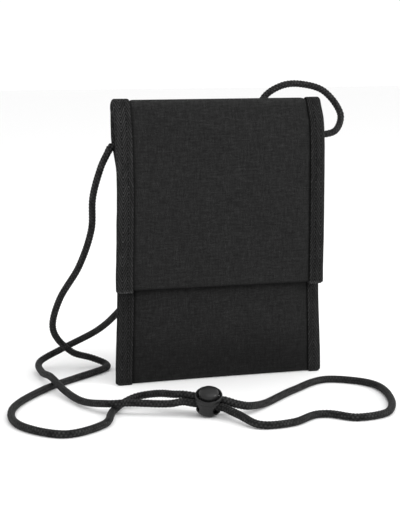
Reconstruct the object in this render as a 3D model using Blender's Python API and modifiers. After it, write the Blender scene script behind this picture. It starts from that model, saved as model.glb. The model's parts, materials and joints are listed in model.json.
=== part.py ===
"""Neck pouch wallet: a flat canvas pouch with a fold-over flap, hung on a neck cord with a cord lock.

The pouch stands on its lower edge. Its width runs along X, its flap faces -Y and +Z is up.
Sizes are in millimetres, and MM turns them into metres where a mesh or a curve is made.
Every place is given from the side seams' plane, which stands SEAM_PLANE_Y behind the world's origin,
so that the origin is under the middle of the closed pouch.
"""

import math

import bmesh
import bpy
from mathutils import Matrix, Vector

MM = 0.001
COLLECTION = "neck_pouch_wallet"

# Pouch
SEAM_PLANE_Y = 1.2
HEIGHT = 180.0
BODY_WIDTH = 135.0
FLAP_WIDTH = 137.5
CANVAS = 0.8
LINING = 0.4
TAPE = 0.7
GAP = 0.3
BINDING_WIDTH = 11.0

# Body: two canvas faces, close together at the side seams and bowed apart between them
SEAM_HALF = 0.3
BULGE = 3.0
BULGE_EDGE_X = 64.0
BULGE_FLAT_X = 38.0
BULGE_RISE = 30.0
TOP_SET_BACK = 2.4
SET_BACK_LOW_Z = 132.0
SET_BACK_HIGH_Z = 156.0
BOTTOM_FOLD_Z = 1.2
MOUTH_Z = 162.0
BACK_TOP_Z = 170.2
POCKET_TOP_Z = 128.0
POCKET_BOTTOM_Z = 14.0
POCKET_OFFSET = 0.4

# Flap: it rolls over the fold at the top of the back and hangs in front
FOLD_Y = 1.2
FOLD_RADIUS = 3.6
FOLD_Z = HEIGHT - GAP - TAPE - FOLD_RADIUS
FOLD_START = -20.0
FOLD_END = 150.0
FLAP_HEM_Z = 62.0
FLAP_BINDING_Z = 60.8
LINING_TOP_Z = 167.0
FLAP_FRONT = ((-4.7, 170.0), (-6.9, 162.5), (-8.2, 151.0), (-8.5, 138.0), (-8.5, 100.0))

# Hook and loop closure
CLOSURE_LOW_Z = 66.0
CLOSURE_HEIGHT = 20.0
CLOSURE_HALF_WIDTH = 36.0
CLOSURE_THICKNESS = 1.0

# Neck cord, and the stitched ends that hold it in the side seams
CORD_DIAMETER = 4.0
CORD_POINTS = 90
LEFT_EXIT_Z = 151.7
RIGHT_EXIT_Z = 154.0
ANCHOR_LENGTH = 5.1
ANCHOR_DEPTH = 4.4
ANCHOR_HEIGHT = 5.6

# Cord lock: a rounded barrel with a sprung plunger, lying on the surface in front of the pouch
LOCK_PLACE = (-34.0, -90.0, 8.5)
LOCK_HEADING = -16.7
LOCK_LEAN = 26.0
LOCK_TWIST = -12.8
BARREL_RADIUS = 8.1
BARREL_RIM_Z = 6.0
BARREL_RIM_RADIUS = 7.9
BARREL_FLOOR_Z = -7.0
BARREL_DEPTH = 7.9
BOWL_SQUARENESS = 2.6
BORE_RADIUS = 6.4
PLUNGER_RADIUS = 6.1
PLUNGER_FOOT_Z = -3.9
PLUNGER_SHOULDER_Z = 7.2
PLUNGER_TOP_Z = 9.2
PLUNGER_TRAVEL = 2.2
SLOT_HALF_WIDTH = 4.5
SLOT_LOW_Z = -3.2
SLOT_HIGH_Z = 3.2 + PLUNGER_TRAVEL
STRAND_SIDE = 2.2
STRAND_RISE = 0.9
SPRING_WIRE = 0.5
SPRING_TURNS = 3
SPRING_BASE_RADIUS = 3.3
SPRING_TIP_RADIUS = 1.6

# The cord's route: out of the left seam, down to the surface and round to the lock, through it, round a
# loop, back through it, and up behind the pouch to the right seam. The runs inside the lock are computed.
ROUTE_TO_LOCK = (
    (-69.3, 2.5, 150.6),
    (-71.5, 3.1, 146.4),
    (-75.3, 5.0, 137.6),
    (-79.8, 8.5, 119.0),
    (-80.1, 13.0, 98.0),
    (-86.7, 21.0, 73.8),
    (-98.4, 29.5, 50.8),
    (-101.2, 37.5, 30.2),
    (-87.0, 50.0, 12.2),
    (-72.0, 54.8, 5.8),
    (-64.6, 50.0, 3.0),
    (-64.4, 42.5, 2.0),
    (-71.5, 33.5, 2.0),
    (-90.2, 17.0, 2.0),
    (-116.2, -8.0, 2.0),
    (-141.0, -47.0, 2.0),
    (-143.8, -84.5, 2.0),
    (-123.0, -111.0, 2.0),
    (-97.8, -97.5, 2.0),
    (-86.8, -71.6, 2.0),
    (-78.8, -60.5, 3.4),
    (-70.4, -57.8, 6.0),
    (-63.2, -61.8, 8.2),
    (-56.8, -69.0, 10.1),
    (-51.6, -76.4, 11.0),
)
ROUTE_LOOP = (
    (-18.4, -94.8, 7.1),
    (-10.0, -92.5, 4.8),
    (6.0, -78.2, 2.2),
    (32.0, -53.5, 2.0),
    (60.7, -33.7, 2.0),
    (83.5, -51.0, 2.0),
    (82.6, -82.4, 2.0),
    (66.0, -119.0, 2.0),
    (44.4, -125.2, 2.0),
    (32.0, -113.4, 2.0),
    (23.0, -112.8, 2.0),
    (5.4, -124.6, 2.0),
    (-14.3, -125.0, 2.5),
    (-21.5, -107.5, 4.3),
)
ROUTE_FROM_LOCK = (
    (-54.4, -83.8, 7.5),
    (-60.6, -82.0, 7.3),
    (-69.0, -78.5, 7.4),
    (-77.6, -74.0, 7.2),
    (-88.4, -70.0, 6.5),
    (-99.3, -49.0, 3.4),
    (-105.1, -22.5, 3.8),
    (-109.2, 4.0, 7.0),
    (-110.7, 28.0, 4.8),
    (-107.2, 53.5, 6.2),
    (-89.9, 60.0, 12.9),
    (-69.8, 44.0, 27.2),
    (-59.5, 17.0, 46.5),
    (-42.0, 8.2, 69.0),
    (-10.0, 7.4, 112.0),
    (19.0, 10.0, 152.0),
    (35.8, 17.0, 179.1),
    (48.2, 17.0, 186.8),
    (61.9, 17.0, 187.6),
    (76.8, 15.0, 182.8),
    (85.7, 8.5, 168.6),
    (80.7, 3.6, 158.0),
    (68.7, 2.6, 154.8),
)
LOCK_RUN = (-15.0, -9.0, -3.0, 4.0, 9.0)


def clear_scene():
    for obj in list(bpy.data.objects):
        bpy.data.objects.remove(obj, do_unlink=True)


def new_collection(name):
    collection = bpy.data.collections.new(name)
    bpy.context.scene.collection.children.link(collection)
    return collection


def new_material(name, color, roughness, metallic=0.0):
    material = bpy.data.materials.new(name)
    material.use_nodes = True
    shader = material.node_tree.nodes["Principled BSDF"]
    shader.inputs["Base Color"].default_value = (*color, 1.0)
    shader.inputs["Roughness"].default_value = roughness
    shader.inputs["Metallic"].default_value = metallic
    return material


def new_frame(name, matrix, parent=None):
    """An empty that carries pieces; what it carries is measured from it."""
    frame = bpy.data.objects.new(name, None)
    PARTS.objects.link(frame)
    frame.parent = parent
    frame.matrix_basis = matrix
    return frame


def shift(x=0.0, y=0.0, z=0.0):
    return Matrix.Translation(Vector((x, y, z)) * MM)


def add_object(name, data, material, frame):
    obj = bpy.data.objects.new(name, data)
    PARTS.objects.link(obj)
    obj.data.materials.append(material)
    obj.parent = frame
    return obj


def add_cutter(name, mesh, frame):
    cutter = bpy.data.objects.new(name, mesh)
    CUTTERS.objects.link(cutter)
    cutter.hide_render = True
    cutter.display_type = "WIRE"
    cutter.parent = frame
    return cutter


def cut(obj, cutter):
    modifier = obj.modifiers.new("cut_" + cutter.name, "BOOLEAN")
    modifier.operation = "DIFFERENCE"
    modifier.object = cutter


def box_mesh(name, low, high):
    """A box between two corners given in millimetres."""
    bm = bmesh.new()
    bmesh.ops.create_cube(bm, size=1.0)
    for vert in bm.verts:
        for axis in range(3):
            centre = (low[axis] + high[axis]) / 2
            vert.co[axis] = (centre + vert.co[axis] * (high[axis] - low[axis])) * MM
    mesh = bpy.data.meshes.new(name)
    bm.to_mesh(mesh)
    bm.free()
    return mesh


def sheet(name, material, frame, columns, rows, place, thickness, offset):
    """Cloth of one thickness: a grid whose point (u, v), each from 0 to 1, goes to place(u, v) in mm."""
    bm = bmesh.new()
    bmesh.ops.create_grid(bm, x_segments=columns, y_segments=rows, size=0.5)
    for vert in bm.verts:
        vert.co = Vector(place(vert.co.x + 0.5, vert.co.y + 0.5)) * MM
    mesh = bpy.data.meshes.new(name)
    bm.to_mesh(mesh)
    bm.free()
    obj = add_object(name, mesh, material, frame)
    solidify = obj.modifiers.new("thickness", "SOLIDIFY")
    solidify.thickness = thickness * MM
    solidify.offset = offset
    solidify.use_even_offset = True
    return obj


def blend(start, end, share):
    return start + (end - start) * share


def smooth_step(share):
    share = min(max(share, 0.0), 1.0)
    return share * share * (3 - 2 * share)


def smooth_curve(points, per_span):
    """Points along the Catmull-Rom curve through the given points."""
    points = [Vector(point) for point in points]
    ends = [2 * points[0] - points[1], *points, 2 * points[-1] - points[-2]]
    curve = []
    for before, start, end, after in zip(ends, ends[1:], ends[2:], ends[3:]):
        span = (end - start).length
        leave = (end - before) * span / ((start - before).length + span)
        arrive = (after - start) * span / (span + (after - end).length)
        for step in range(per_span):
            t = step / per_span
            curve.append(
                (2 * t**3 - 3 * t**2 + 1) * start
                + (t**3 - 2 * t**2 + t) * leave
                + (3 * t**2 - 2 * t**3) * end
                + (t**3 - t**2) * arrive
            )
    curve.append(points[-1])
    return curve


def even_points(curve, count):
    """The same line as count points at equal distances along it."""
    lengths = [0.0]
    for start, end in zip(curve, curve[1:]):
        lengths.append(lengths[-1] + (end - start).length)
    spaced = []
    index = 0
    for number in range(count):
        along = lengths[-1] * number / (count - 1)
        while index < len(curve) - 2 and lengths[index + 1] < along:
            index += 1
        share = (along - lengths[index]) / (lengths[index + 1] - lengths[index])
        spaced.append(curve[index].lerp(curve[index + 1], min(share, 1.0)))
    return spaced


# ---------------------------------------------------------------- pouch body


def face_depth(x, z):
    """How far the outer face of the front or back canvas stands from the seam plane."""
    across = smooth_step((BULGE_EDGE_X - abs(x)) / (BULGE_EDGE_X - BULGE_FLAT_X))
    up = smooth_step((z - BOTTOM_FOLD_Z) / BULGE_RISE)
    return SEAM_HALF + CANVAS + BULGE * across * up


def seam_y(z):
    """The seam plane from the side: it leans back near the top, to meet the fold."""
    return TOP_SET_BACK * smooth_step((z - SET_BACK_LOW_Z) / (SET_BACK_HIGH_Z - SET_BACK_LOW_Z))


def body_face(name, side, top_z):
    """The front (side -1) or back (side +1) canvas of the body."""
    half = BODY_WIDTH / 2 - TAPE - GAP

    def place(u, v):
        x = blend(-half, half, u)
        z = blend(BOTTOM_FOLD_Z, top_z, v)
        return x, seam_y(z) + side * face_depth(x, z), z

    return sheet(name, CANVAS_BLACK, BODY, 18, 16, place, CANVAS, side)


def slip_pocket():
    """The divider of the slip pocket, close behind the front canvas."""
    half = BULGE_EDGE_X - 8

    def place(u, v):
        x = blend(-half, half, u)
        z = blend(POCKET_BOTTOM_Z, POCKET_TOP_Z, v)
        return x, seam_y(z) + CANVAS + POCKET_OFFSET - face_depth(x, z), z

    return sheet("slip_pocket_divider", LINING_BLACK, BODY, 14, 10, place, LINING, -1)


def body_binding(name, side):
    """The tape folded round one side seam of the body."""
    edge = BODY_WIDTH / 2 - TAPE
    inner = BODY_WIDTH / 2 - BINDING_WIDTH
    leg = [blend(inner, edge - GAP, share) for share in (0, 0.3, 0.55, 0.8, 1)]
    path = [(x, -1) for x in leg] + [(edge, -0.5), (edge, 0.5)] + [(x, 1) for x in reversed(leg)]

    def place(u, v):
        x, face = path[round(u * (len(path) - 1))]
        z = blend(0, BACK_TOP_Z, v)
        return side * x, seam_y(z) + face * (face_depth(x, z) + GAP), z

    tape = sheet(name, BINDING_BLACK, BODY, len(path) - 1, 16, place, TAPE, side)
    low = (-80, -20, MOUTH_Z + GAP)
    high = (80, TOP_SET_BACK - GAP, HEIGHT)
    cut(tape, add_cutter(name + "_upper_trim", box_mesh(name + "_upper_trim", low, high), BODY))
    return tape


def cord_anchor(name, side):
    """The stitched-down end of the cord inside the side seam, where the cord leaves the pouch."""
    outer = BODY_WIDTH / 2
    exit_z = LEFT_EXIT_Z if side < 0 else RIGHT_EXIT_Z
    low_x, high_x = sorted((side * (outer - ANCHOR_LENGTH), side * outer))
    seam = seam_y(exit_z)
    low = (low_x, seam - ANCHOR_DEPTH / 2, exit_z - ANCHOR_HEIGHT / 2)
    high = (high_x, seam + ANCHOR_DEPTH / 2, exit_z + ANCHOR_HEIGHT / 2)
    anchor = add_object(name, box_mesh(name, low, high), CORD_BLACK, BODY)
    bevel = anchor.modifiers.new("rounded", "BEVEL")
    bevel.width = 0.8 * MM
    bevel.segments = 2
    return anchor


def anchor_notch(side):
    """The room that a cord end takes in the seam."""
    near = side * (BODY_WIDTH / 2 - ANCHOR_LENGTH - GAP)
    exit_z = LEFT_EXIT_Z if side < 0 else RIGHT_EXIT_Z
    low_x, high_x = sorted((near, side * 80))
    half = ANCHOR_HEIGHT / 2 + GAP
    name = "notch_left" if side < 0 else "notch_right"
    mesh = box_mesh(name, (low_x, -20, exit_z - half), (high_x, 20, exit_z + half))
    return add_cutter(name, mesh, BODY)


def loop_tape():
    """The loop half of the closure, on the front canvas."""

    def place(u, v):
        x = blend(-CLOSURE_HALF_WIDTH, CLOSURE_HALF_WIDTH, u)
        z = CLOSURE_LOW_Z + CLOSURE_HEIGHT * v
        return x, -face_depth(x, z) - GAP, z

    return sheet("loop_tape", TAPE_BLACK, BODY, 4, 2, place, CLOSURE_THICKNESS, 1)


# ---------------------------------------------------------------------- flap


def flap_line(low_z):
    """The flap's outer face from the side, from the fold's back down to low_z.

    It is a list of (place, outward direction) pairs, measured from the fold's axis.
    """
    points = []
    for step in range(9):
        angle = math.radians(blend(FOLD_START, FOLD_END, step / 8))
        points.append((0, FOLD_RADIUS * math.cos(angle), FOLD_RADIUS * math.sin(angle)))
    points += [(0, y - FOLD_Y, z - FOLD_Z) for y, z in FLAP_FRONT]
    points.append((0, FLAP_FRONT[-1][0] - FOLD_Y, low_z - FOLD_Z))
    curve = smooth_curve(points, 2)
    line = []
    for index, point in enumerate(curve):
        along = curve[min(index + 1, len(curve) - 1)] - curve[max(index - 1, 0)]
        line.append((point, Vector((0, along.z, -along.y)).normalized()))
    return line


def flap_layer(name, material, line, depth, thickness):
    """A layer of the flap whose outer face lies depth inside the flap's outer face."""
    half = FLAP_WIDTH / 2 - TAPE - GAP

    def place(u, v):
        point, outward = line[round(v * (len(line) - 1))]
        return point - outward * depth + Vector((blend(half, -half, u), 0, 0))

    return sheet(name, material, FLAP, 4, len(line) - 1, place, thickness, -1)


def flap_binding(name, side):
    """The tape folded round one side edge of the flap, from the fold to just below the hem."""
    edge = FLAP_WIDTH / 2 - TAPE
    inner = FLAP_WIDTH / 2 - BINDING_WIDTH
    stack = CANVAS + GAP + LINING
    path = [(inner, GAP), (edge - GAP, GAP), (edge, -GAP), (edge, -stack + GAP)]
    path += [(edge - GAP, -stack - GAP), (inner, -stack - GAP)]
    line = flap_line(FLAP_BINDING_Z)

    def place(u, v):
        x, lift = path[round(u * (len(path) - 1))]
        point, outward = line[round(v * (len(line) - 1))]
        return point + outward * lift + Vector((side * x, 0, 0))

    return sheet(name, BINDING_BLACK, FLAP, len(path) - 1, len(line) - 1, place, TAPE, -side)


def hook_tape():
    """The hook half of the closure, on the inside of the flap."""
    outer_y = FLAP_FRONT[-1][0] + CANVAS + GAP + LINING + GAP - FOLD_Y
    low_z = CLOSURE_LOW_Z - FOLD_Z
    low = (-CLOSURE_HALF_WIDTH, outer_y, low_z)
    high = (CLOSURE_HALF_WIDTH, outer_y + CLOSURE_THICKNESS, low_z + CLOSURE_HEIGHT)
    return add_object("hook_tape", box_mesh("hook_tape", low, high), TAPE_BLACK, FLAP)


# ----------------------------------------------------------------- cord lock


def lock_frame():
    """Where the lock lies: its local X runs along the cord and its local Z along the plunger."""
    turn = Matrix.Rotation(math.radians(LOCK_HEADING), 4, "Z")
    lean = Matrix.Rotation(math.radians(LOCK_LEAN), 4, "X")
    twist = Matrix.Rotation(math.radians(LOCK_TWIST), 4, "Z")
    return shift(*LOCK_PLACE) @ turn @ lean @ twist


def turned(name, material, frame, profile, steps=36):
    """A solid of revolution about local Z, from (radius, height) points in mm, top to bottom."""
    mesh = bpy.data.meshes.new(name)
    points = [(radius * MM, 0, height * MM) for radius, height in profile]
    mesh.from_pydata(points, [(i, i + 1) for i in range(len(points) - 1)], [])
    obj = add_object(name, mesh, material, frame)
    screw = obj.modifiers.new("turn", "SCREW")
    screw.steps = steps
    screw.render_steps = steps
    screw.use_merge_vertices = True
    screw.merge_threshold = 0.00001
    return obj


def window_cutter(name, near, far, near_x, far_x):
    """An oval cutter along local X, growing from the near (Y, Z) half sizes to the far ones."""
    bm = bmesh.new()
    bmesh.ops.create_cone(bm, cap_ends=True, segments=24, radius1=1, radius2=1, depth=1)
    for vert in bm.verts:
        half = far if vert.co.z > 0 else near
        x = far_x if vert.co.z > 0 else near_x
        vert.co = (x, vert.co.x * half[0], vert.co.y * half[1])
    if far_x < near_x:
        bmesh.ops.reverse_faces(bm, faces=bm.faces)
    bmesh.ops.scale(bm, vec=(MM, MM, MM), verts=bm.verts)
    mesh = bpy.data.meshes.new(name)
    bm.to_mesh(mesh)
    bm.free()
    return mesh


def barrel():
    """The lock's body: a round-bottomed cup with a flared window on each side for the cord."""
    inside = [(0, BARREL_FLOOR_Z), (3.8, BARREL_FLOOR_Z), (5.2, -6.1), (6.1, -4.6), (BORE_RADIUS, -3.2)]
    rim = [(BORE_RADIUS, BARREL_RIM_Z), (BARREL_RIM_RADIUS - 0.5, BARREL_RIM_Z)]
    rim += [(BARREL_RIM_RADIUS, BARREL_RIM_Z - 0.6), (BARREL_RIM_RADIUS, 3.0)]
    bowl = []
    for step in range(10):
        angle = math.radians(90 * step / 9)
        radius = BARREL_RADIUS * math.cos(angle) ** (2 / BOWL_SQUARENESS)
        bowl.append((radius, -BARREL_DEPTH * math.sin(angle) ** (2 / BOWL_SQUARENESS)))
    bowl[-1] = (0, -BARREL_DEPTH)
    obj = turned("cord_lock_barrel", LOCK_BLACK, LOCK, inside + rim + bowl)
    straight = window_cutter("window_straight", (5.4, 4.2), (5.4, 4.2), -12, 12)
    cut(obj, add_cutter("window_straight", straight, LOCK))
    for side, name in ((-1, "window_flare_back"), (1, "window_flare_front")):
        flare = window_cutter(name, (4.8, 3.9), (7.4, 5.3), side * 5.0, side * 9.5)
        cut(obj, add_cutter(name, flare, LOCK))
    return obj


def plunger():
    """The push button: a domed cap on a stem that the cord passes through."""
    cap = [(0, PLUNGER_TOP_Z), (2.6, PLUNGER_TOP_Z - 0.15), (4.6, PLUNGER_TOP_Z - 0.75)]
    cap += [(5.7, PLUNGER_SHOULDER_Z + 0.5), (PLUNGER_RADIUS, PLUNGER_SHOULDER_Z - 0.3)]
    foot = [(PLUNGER_RADIUS, -1.4), (5.8, -2.4), (5.3, SLOT_LOW_Z), (4.9, PLUNGER_FOOT_Z), (0, PLUNGER_FOOT_Z)]
    obj = turned("cord_lock_button", BUTTON_BLACK, LOCK, cap + foot)
    low = (-9, -SLOT_HALF_WIDTH, SLOT_LOW_Z)
    high = (9, SLOT_HALF_WIDTH, SLOT_HIGH_Z)
    cut(obj, add_cutter("cord_slot", box_mesh("cord_slot", low, high), LOCK))
    return obj


def spring():
    """A conical spring between the barrel's floor and the plunger's foot."""
    low = BARREL_FLOOR_Z + GAP + SPRING_WIRE / 2
    high = PLUNGER_FOOT_Z - GAP - SPRING_WIRE / 2
    curve = bpy.data.curves.new("cord_lock_spring", "CURVE")
    curve.dimensions = "3D"
    curve.bevel_depth = SPRING_WIRE / 2 * MM
    curve.bevel_resolution = 1
    curve.use_fill_caps = True
    line = curve.splines.new("POLY")
    count = SPRING_TURNS * 12
    line.points.add(count)
    for index in range(count + 1):
        share = index / count
        angle = 2 * math.pi * SPRING_TURNS * share
        radius = blend(SPRING_BASE_RADIUS, SPRING_TIP_RADIUS, share)
        place = (radius * math.cos(angle), radius * math.sin(angle), blend(low, high, share))
        line.points[index].co = (*(Vector(place) * MM), 1)
    return add_object("cord_lock_spring", curve, STEEL, LOCK)


# ----------------------------------------------------------------- neck cord


def lock_strand(side):
    """The straight run of one strand through the lock: side +1 is the upper strand."""
    frame = lock_frame()
    offset = (side * STRAND_SIDE, side * STRAND_RISE)
    return [frame @ (Vector((along, *offset)) * MM) / MM for along in LOCK_RUN]


def neck_cord():
    """One cord from seam to seam, doubled where it goes through the lock."""
    route = [*ROUTE_TO_LOCK, *lock_strand(1), *ROUTE_LOOP, *lock_strand(-1)[::-1], *ROUTE_FROM_LOCK]
    points = even_points(smooth_curve(route, 8), CORD_POINTS)
    for point in points:
        point.z = max(point.z, CORD_DIAMETER / 2)
    curve = bpy.data.curves.new("neck_cord", "CURVE")
    curve.dimensions = "3D"
    curve.bevel_depth = CORD_DIAMETER / 2 * MM
    curve.bevel_resolution = 2
    curve.use_fill_caps = True
    line = curve.splines.new("POLY")
    line.points.add(len(points) - 1)
    for spline_point, point in zip(line.points, points):
        spline_point.co = (*(point * MM), 1)
    return add_object("neck_cord", curve, CORD_BLACK, BODY)


clear_scene()
PARTS = new_collection(COLLECTION)
CUTTERS = new_collection("cutters")

CANVAS_BLACK = new_material("canvas_black", (0.022, 0.022, 0.024), 0.85)
LINING_BLACK = new_material("lining_black", (0.020, 0.020, 0.022), 0.80)
BINDING_BLACK = new_material("binding_black", (0.026, 0.026, 0.028), 0.75)
TAPE_BLACK = new_material("closure_tape_black", (0.015, 0.015, 0.016), 0.90)
CORD_BLACK = new_material("cord_black", (0.024, 0.024, 0.026), 0.70)
LOCK_BLACK = new_material("cord_lock_black", (0.035, 0.035, 0.037), 0.45)
BUTTON_BLACK = new_material("cord_lock_button_black", (0.038, 0.038, 0.040), 0.42)
STEEL = new_material("spring_steel", (0.60, 0.60, 0.62), 0.30, 1.0)

BODY = new_frame("pouch_frame", shift(y=SEAM_PLANE_Y))
FLAP = new_frame("flap_hinge", shift(y=FOLD_Y, z=FOLD_Z), BODY)
LOCK = new_frame("cord_lock_frame", lock_frame(), BODY)

front = body_face("front_panel", -1, MOUTH_Z)
back = body_face("back_panel", 1, BACK_TOP_Z)
slip_pocket()
loop_tape()
for side, label in ((-1, "left"), (1, "right")):
    binding = body_binding("body_binding_" + label, side)
    cord_anchor("cord_anchor_" + label, side)
    notch = anchor_notch(side)
    for piece in (front, back, binding):
        cut(piece, notch)

flap_layer("flap_panel", CANVAS_BLACK, flap_line(FLAP_HEM_Z), 0, CANVAS)
lining_line = [row for row in flap_line(FLAP_HEM_Z) if row[0].z < LINING_TOP_Z - FOLD_Z]
flap_layer("flap_lining", LINING_BLACK, lining_line, CANVAS + GAP, LINING)
hook_tape()
for side, label in ((-1, "left"), (1, "right")):
    flap_binding("flap_binding_" + label, side)

barrel()
plunger()
spring()
neck_cord()
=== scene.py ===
"""Looks of the neck pouch wallet: canvas, bindings, stitching, braided cord and cord lock.

Sizes in the constants are in millimetres in the row frame, and MM turns them into metres. The pouch faces -Y,
its width runs along X, and the side seams lie SEAM_Y behind the origin.
"""

import json
from math import copysign, cos, pi, radians, sin

import bmesh
import bpy
import numpy as np
from mathutils import Matrix, Vector, noise


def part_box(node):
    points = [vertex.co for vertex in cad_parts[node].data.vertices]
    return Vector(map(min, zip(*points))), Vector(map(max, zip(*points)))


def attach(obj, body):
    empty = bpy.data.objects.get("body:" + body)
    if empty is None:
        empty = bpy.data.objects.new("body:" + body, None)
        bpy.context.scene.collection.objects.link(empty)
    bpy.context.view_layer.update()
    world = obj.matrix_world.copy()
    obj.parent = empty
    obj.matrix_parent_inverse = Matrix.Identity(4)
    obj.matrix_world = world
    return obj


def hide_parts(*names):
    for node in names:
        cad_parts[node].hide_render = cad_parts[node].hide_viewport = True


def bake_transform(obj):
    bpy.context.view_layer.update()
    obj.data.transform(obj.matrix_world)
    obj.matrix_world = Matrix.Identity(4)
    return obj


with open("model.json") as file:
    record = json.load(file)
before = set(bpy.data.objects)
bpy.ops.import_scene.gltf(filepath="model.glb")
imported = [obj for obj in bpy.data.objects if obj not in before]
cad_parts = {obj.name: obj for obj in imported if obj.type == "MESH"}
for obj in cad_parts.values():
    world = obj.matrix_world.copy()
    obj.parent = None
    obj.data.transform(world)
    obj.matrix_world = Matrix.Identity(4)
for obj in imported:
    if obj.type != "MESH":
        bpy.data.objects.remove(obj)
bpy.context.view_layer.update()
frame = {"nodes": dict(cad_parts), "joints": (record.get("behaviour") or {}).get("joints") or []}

MM = 0.001
SIDES = ((-1, "left"), (1, "right"))


def edges(node):
    """The lowest and the highest corner of a CAD node's box, in millimetres."""
    low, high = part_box(node)
    return low / MM, high / MM


# Cloth, and the pouch's shape from the side and from above
SEAM_Y = 1.2
CANVAS = 0.8
TAPE = 0.7
LINING = 0.4
PLY_GAP = 0.1
SEAM_HALF = 0.3
HEM_TURN = CANVAS + PLY_GAP / 2
BULGE = 3.0
BULGE_EDGE_X = 64.0
BULGE_FLAT_X = 38.0
BULGE_RISE = 30.0
TOP_SET_BACK = 2.4
SET_BACK_LOW_Z = 132.0
SET_BACK_HIGH_Z = 156.0
WEAVE_PITCH = 0.70

# Places that the frame gives, and how far the visible cloth is from them
joints = {joint["name"]: joint for joint in frame["joints"]}
HINGE = Vector(joints["flap_hinge"]["pos_m"]) / MM
BODY_LOW, BODY_HIGH = edges("front_panel")
TAPE_LOW, TAPE_HIGH = edges("body_binding_right")
FLAP_LOW = edges("flap_panel")[0]
FLAP_TAPE_LOW, FLAP_TAPE_HIGH = edges("flap_binding_right")
FOLD_DROP = 0.8
FOLD_LOW_Z = BODY_LOW.z - FOLD_DROP
MOUTH_Z = BODY_HIGH.z
MOUTH_HEM = 12.0
BODY_EDGE = TAPE_HIGH.x
FLAP_EDGE = FLAP_TAPE_HIGH.x
BODY_CANVAS_EDGE = BODY_EDGE - 1.6
FLAP_CANVAS_EDGE = FLAP_EDGE - 1.3
BODY_TAPE_ENDS = (TAPE_HIGH.z + 1.7, 0.05)
TAPE_INNER = {-1: TAPE_LOW.x + 0.6, 1: TAPE_LOW.x + 3.0}
FLAP_TAPE_INNER = {-1: FLAP_TAPE_LOW.x + 0.45, 1: FLAP_TAPE_LOW.x + 1.25}
FLAP_DROP = 0.8

# The fold at the top, from the side: where the flap leaves the back, (y, z) places down its front, where the
# layers turn fully with the flap, and how far along the flap its inner layer begins
BACK_JOIN = Vector((0, 5.2, 171.0))
FLAP_FRONT = ((-3.5, 170.0), (-5.7, 162.5), (-7.0, 151.0), (-7.3, 138.0), (-7.3, 100.0))
FOLD_RADIUS = 3.6
INNER_LAYER_FROM = 20.0

# Small unevenness of the sewn shape: how far the edges stray from the straight
LOW_SPREAD_RIGHT = 1.9
LOW_SPREAD_LEFT = 2.1
LOW_SHIFT = 0.6
LOW_LEFT_FORWARD = 2.0
TOP_LEFT_OUT = 1.5
TOP_LEFT_BACK = 1.3
BODY_WAIST = 1.3
FLAP_WAIST = 0.6
FLAP_TOP_RISE = 0.55
FLAP_HEM_OUT = 0.7
FLAP_TOP_RIGHT_IN = 0.7
FLAP_BACK_OUT = 0.35

# Bindings: their stitches, and the painted light and shade on each tape at heights, as (heights, tones), by
# side
STITCH_INSET = 2.7
STITCH_PITCH = 2.7
STITCH_LENGTH = 2.1
STITCH_WIDTH = 0.42
END_ROUNDING = 1.6
BODY_TAPE_PAINTED_LIGHT = {-1: ((0, 140, 152), (0.02, 0.02, 0.6)), 1: ((0, 60), (0.27, 0.27))}
FLAP_TAPE_PAINTED_LIGHT = {-1: ((100, 150), (0.26, 0.42)), 1: ((100, 150), (0.08, 0.08))}

# Cord, how much fuller than its diameter it looks, and the notches in the tapes where it comes out
CORD_DIAMETER = 4.0
BRAID_STRANDS = 8
BRAID_CELL = 2.1
BRAID_RELIEF = 0.34
BRAID_MIDDLE = 0.65
CORD_RADIUS = CORD_DIAMETER / 2 + 0.20
CORD_SWELL = 0.22
CORD_SWELL_PLACE = (20.0, 0, 0)
CORD_SWELL_REACH = 16.0
EXIT_SWELL = 0.25
EXIT_SWELL_REACH = 3.0
NOTCH_RADIUS = CORD_DIAMETER / 2 - 0.2
NOTCH_DEPTH = 8.0
NOTCH_OUT = 2.2

# Cord lock: its place, the strands through it, and the barrel and plunger in its own millimetres
LOCK_PLACE = (-34.0, -88.8, 8.5)
LOCK_RUN = (-15.0, -9.0, -3.0, 4.0, 9.0)
STRAND_SIDE = 2.2
STRAND_RISE = 0.9
TUNNEL_STEPS = 48
BARREL_RADIUS = 8.1
BARREL_DEPTH = 7.05
BARREL_SQUARENESS = 3.5
DOME_RADIUS = 5.85
DOME_FOOT_Z = 6.2
DOME_HEIGHT = 2.95
DOME_FULLNESS = 0.88

# Camera: where it stands, how it is turned in degrees, and its lens
CAMERA_PLACE = (-261.43, -845.01, 212.58)
CAMERA_AZIMUTH = -16.390
CAMERA_TILT = 8.485
CAMERA_ROLL = -0.1728
CAMERA_LENS = 99.0177
CAMERA_SENSOR = 36.0

# The cord's route in the seam plane's own frame, as the CAD part has it
ROUTE_TO_LOCK = (
    (-69.3, 2.5, 150.6), (-71.5, 3.1, 146.4), (-75.3, 5.0, 137.6), (-79.8, 8.5, 119.0),
    (-80.1, 13.0, 98.0), (-86.7, 21.0, 73.8), (-98.4, 29.5, 50.8), (-101.2, 37.5, 30.2),
    (-87.0, 50.0, 12.2), (-72.0, 54.8, 5.8), (-64.6, 50.0, 3.0), (-64.4, 42.5, 2.0),
    (-71.5, 33.5, 2.0), (-90.2, 17.0, 2.0), (-116.2, -8.0, 2.0), (-141.0, -47.0, 2.0),
    (-143.8, -84.5, 2.0), (-123.0, -111.0, 2.0), (-97.8, -97.5, 2.0), (-86.8, -71.6, 2.0),
    (-78.8, -60.5, 3.4), (-70.4, -57.8, 6.0), (-63.2, -61.8, 8.2), (-56.8, -69.0, 10.1),
    (-51.6, -76.4, 11.0),
)
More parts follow.
